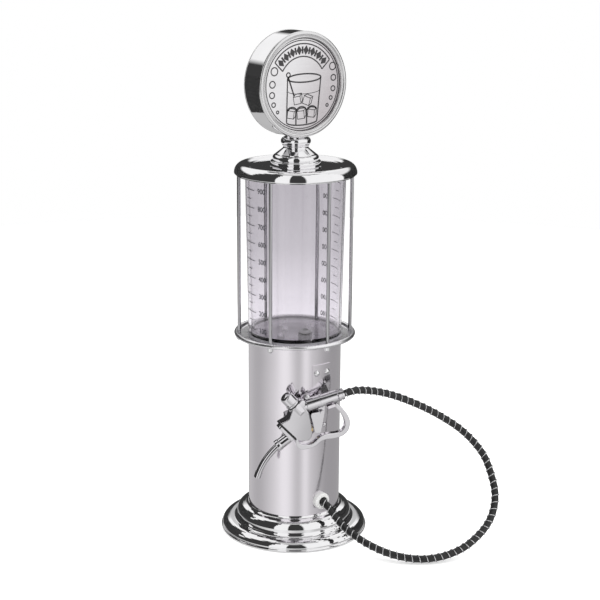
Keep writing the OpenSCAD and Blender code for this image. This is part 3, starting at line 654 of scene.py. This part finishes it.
BUBBLES = [(-30.9, 13.4, 3.6), (-33, 1.8, 3), (-33.4, -7.9, 2.7), (-31.7, -16.6, 2), (-27.3, -23.5, 1.3),
           (33.9, 15, 3.4), (35, 4.5, 2.7), (34.7, -5.5, 2.3), (32.2, -13.9, 1.7), (28.1, -20.5, 1.3)]
LOZENGE = [(-3, 0), (0, -4.4), (3, 0), (0, 4.4)]
BAR = [(-0.9, -3.2), (0.9, -3.2), (0.9, 3.2), (-0.9, 3.2)]
BANNER_MARKS, BANNER_START, BANNER_PITCH, BANNER_R = 15, 41, 7, 31.3


def sign_art():
    """Border, a banner with a row of lozenges, bubbles down each side and a tumbler with ice."""
    parts = [ring2(0, 0, 41.8, 41.8, 0.7, 96), ring2(0, 0, 40.1, 40.1, 0.9, 96)]
    for r, a in ((37, 35), (25.5, 31)):
        parts.append(stroke(arc2(0, 0, r, r, a, 180 - a, 40), 1.2))
    for side in (1, -1):
        parts.append(stroke([(side * 21.9, 13.1), (side * 30.3, 21.2)], 1.2))
    for i in range(BANNER_MARKS):
        a = math.radians(BANNER_START + BANNER_PITCH * i)
        c, w = math.cos(a), math.sin(a)
        shape = LOZENGE if i % 2 == 0 else BAR
        parts.append(fill([((BANNER_R + y) * c + x * w, (BANNER_R + y) * w - x * c) for x, y in shape]))
    for x, y, r in BUBBLES:
        parts.append(ring2(x, y, r, r, 1.1, 28))
    parts += tumbler()
    points, faces = join_parts(parts)
    return [p * MM for p in points], faces


def tumbler():
    """Glass with its rim, arches round its foot, the drink's surface, ice cubes and a stirrer."""
    parts = [ring2(2.1, 5.9, 18.6, 3.8, 1.4, 56), stroke(arc2(2, -5.6, 17.6, 3, 180, 360, 30), 0.6)]
    parts.append(stroke([(-16.5, 5.9), (-17.4, -33.5)], 1.3))
    parts.append(stroke([(20.7, 5.9), (16.6, -33.5)], 1.3))
    parts.append(stroke(arc2(-0.4, -33.5, 17, 3.5, 180, 360, 28), 1.3))
    for x, y, size, turn in ((-5, -13, 4.8, 12), (5.8, -14.3, 4.8, -16), (-11.9, -26, 4.6, -6),
                             (-0.9, -26.5, 4.9, 8), (10.9, -26, 4.7, -4)):
        parts += ice_cube(x, y, size, turn)
    for x in (-11.6, -0.8, 10.7):
        parts.append(stroke(arc2(x, -24.2, 5.4, 4, 10, 170, 12), 1.5))
    for x in (-7, 5):
        parts.append(stroke([(x, -23), (x, -36)], 1.5))
    parts.append(stroke([(-15.7, 7.4), (-9.1, -10.2)], 1.5))
    parts.append(ring2(-15.6, 9.5, 2, 2, 1.2, 20))
    return parts


def ice_cube(x, y, size, turn):
    """Three visible faces of a cube about (x, y), turned by turn degrees."""
    c, w = math.cos(math.radians(turn)), math.sin(math.radians(turn))

    def at(px, py):
        return (x + size * (px * c - py * w), y + size * (px * w + py * c))
    face = [at(-1, -0.85), at(0.55, -1), at(0.6, 0.45), at(-0.95, 0.6)]
    top = [face[3], at(-0.35, 1.05), at(1.05, 0.9), face[2]]
    side = [face[2], top[2], at(1, -0.45), face[1]]
    return [stroke(face, 0.95, True), stroke(top, 0.85), stroke(side, 0.85)]


def make_sign_art(name, facing):
    """facing is 1 for the front face and -1 for the back one."""
    points, faces = sign_art()
    placed = [Vector((facing * p.x, SIGN_Y - facing * (PLATE - ART_SINK + p.z), SIGN_Z + p.y))
              for p in points]
    art = solid(name, placed, faces, MATERIALS["engraving"])
    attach(art, "lid")


make_sign_art("sign_art_front", 1)
make_sign_art("sign_art_back", -1)

# ---------------------------------------------------------------- studio


def window(n, value, low, high, soft):
    """1 where value is between low and high, with soft edges."""
    up = n.spread(value, 0, 1, low - soft, low + soft)
    down = n.spread(value, 1, 0, high - soft, high + soft)
    return n.math("MULTIPLY", up, down)


# The studio below the horizon: a grey surround, and soft lights given as an angle from the camera,
# a half width and a brightness, set so that the tube looks as it does in the photograph
SURROUND = 0.36
LOW_LIGHTS = [(-145, 42, 0.18), (-58, 35, 0.25), (-19, 28, 0.48), (28, 13, 0.36), (50, 24, 0.20)]

# Cards seen in reflections: from and to in degrees from the camera, soft edge, brightness
LEFT_CARD = (-38, -11, 1, 1.25)
RIGHT_CARD = (20, 100, 2, 1.1)
CARD_LOW, CARD_HIGH, CARD_SOFT = -0.4, 0.94, 0.01
DARK_ABOVE = 0.045
# Where each light fades, by its height, by how far it is towards the camera or to its right
SOFTBOX_FOOT, SOFTBOX_FRONT, SOFTBOX_ACROSS = (0.335, 0.46), (-0.12, -0.04), (-0.5, 0.5)
SOFTBOX_LEFT_GAIN, SOFTBOX_RIGHT_GAIN = 1.4, 0.9
FRONT_TOP_FOOT, FRONT_TOP_BACK, FRONT_TOP = (0.93, 0.95), (-0.06, 0), 0.6
LOW_BAND_TOP = (-0.26, -0.19)
THROUGH_BELOW = rgb(1.25, 1.23, 1.27)
THROUGH_FOOT = rgb(0.74, 0.73, 0.75)
THROUGH_WALL = rgb(0.65, 0.64, 0.66)
THROUGH_RISE, THROUGH_FALL = (-0.225, -0.187), (-0.28, -0.225)


def low_band(n, turn):
    """Brightness below the horizon: the surround, with a bell for each soft light."""
    total = SURROUND
    for angle, half_width, bright in LOW_LIGHTS:
        away = n.math("WRAP", n.math("SUBTRACT", turn, angle), 180, -180)
        share = n.math("DIVIDE", away, half_width)
        bell = n.math("EXPONENT", n.math("MULTIPLY", n.math("MULTIPLY", share, share), -1.0))
        total = n.math("ADD", total, n.math("MULTIPLY", bell, bright))
    return total


def card(n, turn, start, end, soft, bright):
    """Light card between two angles from the camera."""
    return n.math("MULTIPLY", window(n, turn, start, end, soft), bright)


def make_world():
    """White to the camera; cards, a softbox and a low band to reflections; greys through the tank."""
    world = bpy.data.worlds.new("studio")
    world.use_nodes = True
    scene.world = world
    n = Nodes(world.node_tree)
    way = n.add("ShaderNodeTexCoord").outputs["Generated"]
    height = n.dot(way, (0, 0, 1))
    ahead = n.dot(way, tuple(TO_CAMERA))
    aside = n.dot(way, tuple(CAMERA_RIGHT))
    turn = n.math("MULTIPLY", n.math("ARCTAN2", aside, ahead), 180 / math.pi)
    sides = n.math("MAXIMUM", card(n, turn, *LEFT_CARD), card(n, turn, *RIGHT_CARD))
    cards = n.math("MULTIPLY", sides, window(n, height, CARD_LOW, CARD_HIGH, CARD_SOFT))
    front_top = n.math("MULTIPLY", n.spread(height, 0, FRONT_TOP, *FRONT_TOP_FOOT),
                       n.spread(ahead, 0, 1, *FRONT_TOP_BACK))
    softbox = n.math("MULTIPLY", n.spread(height, 0, 1, *SOFTBOX_FOOT),
                     n.spread(ahead, 1, 0, *SOFTBOX_FRONT))
    gain = n.spread(aside, SOFTBOX_LEFT_GAIN, SOFTBOX_RIGHT_GAIN, *SOFTBOX_ACROSS)
    softbox = n.math("MULTIPLY", softbox, gain)
    above = n.math("MAXIMUM", n.math("MAXIMUM", cards, softbox),
                   n.math("MAXIMUM", front_top, DARK_ABOVE))
    shine = n.mix(n.spread(height, 1, 0, *LOW_BAND_TOP), n.mix(above, rgb(0), rgb(1)),
                  n.mix(low_band(n, turn), rgb(0), rgb(1)))
    path = n.add("ShaderNodeLightPath")
    seen = path.outputs["Is Transmission Ray"]
    high = n.mix(n.spread(height, 0, 1, *THROUGH_RISE), THROUGH_FOOT, THROUGH_WALL)
    through = n.mix(n.spread(height, 1, 0, *THROUGH_FALL), high, THROUGH_BELOW)
    color = n.mix(path.outputs["Is Camera Ray"], n.mix(seen, shine, through), rgb(1.0))
    back = n.add("ShaderNodeBackground", {"Color": color, "Strength": 1.0})
    output = n.add("ShaderNodeOutputWorld")
    n.tree.links.new(back.outputs[0], output.inputs[0])


make_world()


FLOOR_RADIUS, FLOOR_DROP, FLOOR_GLOW = 1.5, 0.0003, 0.4


def make_floor():
    """White floor under the base, not seen in reflections or through the tank."""
    bm = bmesh.new()
    bmesh.ops.create_circle(bm, cap_ends=True, segments=128, radius=FLOOR_RADIUS)
    mesh = bpy.data.meshes.new("floor")
    bm.to_mesh(mesh)
    bm.free()

    def build(n):
        tone = n.mix(n.noise(n.place(), 0.02, 2), rgb(0.93), rgb(0.95))
        return {"Base Color": tone}
    floor = new_object("floor", mesh, surface("floor", build, Roughness=0.9,
                                              Specular_IOR_Level=0.2, Emission_Color=rgb(1.0),
                                              Emission_Strength=FLOOR_GLOW))
    floor.location.z = -FLOOR_DROP
    floor.visible_glossy = floor.visible_transmission = False


make_floor()


FLAG_DISTANCE, FLAG_LOW, FLAG_HIGH = 0.5, 0.10, 0.50
FLAG_STEPS = 10


def make_flag(name, start, end):
    """Dark card behind the object, seen only in reflections; angles in degrees from the camera."""
    points = []
    for i in range(FLAG_STEPS + 1):
        a = math.radians(start + (end - start) * i / FLAG_STEPS)
        foot = (CAMERA_RIGHT * math.sin(a) + TO_CAMERA * math.cos(a)) * FLAG_DISTANCE
        points += [foot + Vector((0, 0, FLAG_LOW)), foot + Vector((0, 0, FLAG_HIGH))]
    faces = [(2 * i, 2 * i + 1, 2 * i + 3, 2 * i + 2) for i in range(FLAG_STEPS)]
    flag = solid(name, points, faces, moulded(name, (0.03,) * 3, (0.02,) * 3, 0.9, 1.0))
    flag.visible_camera = flag.visible_diffuse = flag.visible_transmission = False
    flag.visible_shadow = False


make_flag("flag_left", -152, -98)
make_flag("flag_right", 98, 152)


def area_light(name, place, aim, size, power):
    """Rectangular lamp that lights the object but isn't seen in it."""
    data = bpy.data.lights.new(name, "AREA")
    data.shape, data.size, data.size_y, data.energy = "RECTANGLE", size[0], size[1], power
    light = bpy.data.objects.new(name, data)
    light.location = place
    light.rotation_euler = (Vector(aim) - Vector(place)).to_track_quat("-Z", "Y").to_euler()
    light.visible_glossy = light.visible_transmission = False
    scene.collection.objects.link(light)


area_light("key", place=(-0.7, -1.0, 1.5), aim=(0, 0, 0.1), size=(1.2, 1.2), power=9)
area_light("top", place=(0, 0, 1.8), aim=(0, 0, 0), size=(1.6, 1.6), power=13)

scene.view_settings.view_transform = "Standard"
scene.view_settings.look = "None"
